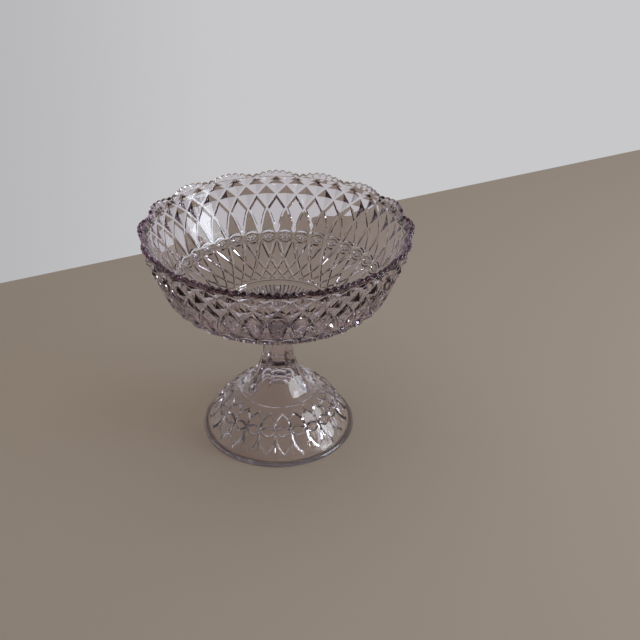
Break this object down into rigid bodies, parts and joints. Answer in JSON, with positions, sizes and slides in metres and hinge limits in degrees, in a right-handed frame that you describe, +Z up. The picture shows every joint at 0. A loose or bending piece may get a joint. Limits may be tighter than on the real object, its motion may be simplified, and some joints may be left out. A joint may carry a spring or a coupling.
{
  "type": "footed compote bowl",
  "caption": "Pressed glass compote: a deep lattice-patterned bowl with a scalloped, beaded rim on a panelled stem and a hollow domed foot.",
  "frame": {"origin": "centre of the foot's standing ring, on the surface that the object stands on", "axes": "+Z up along the axis of foot, stem and bowl; a scallop tip of the rim lies over +Y"},
  "size_m": [0.22, 0.22, 0.1935],
  "materials": {
    "bowl_glass": "clear pressed glass, pale amethyst, fire polished",
    "wafer_glass": "clear glass, pale amethyst, fire polished",
    "pedestal_glass": "clear pressed glass, pale amethyst, fire polished"
  },
  "bodies": {
    "root": {"bowl": "bowl_glass", "joining_wafer": "wafer_glass", "pedestal": "pedestal_glass"}
  },
  "joints": []
}
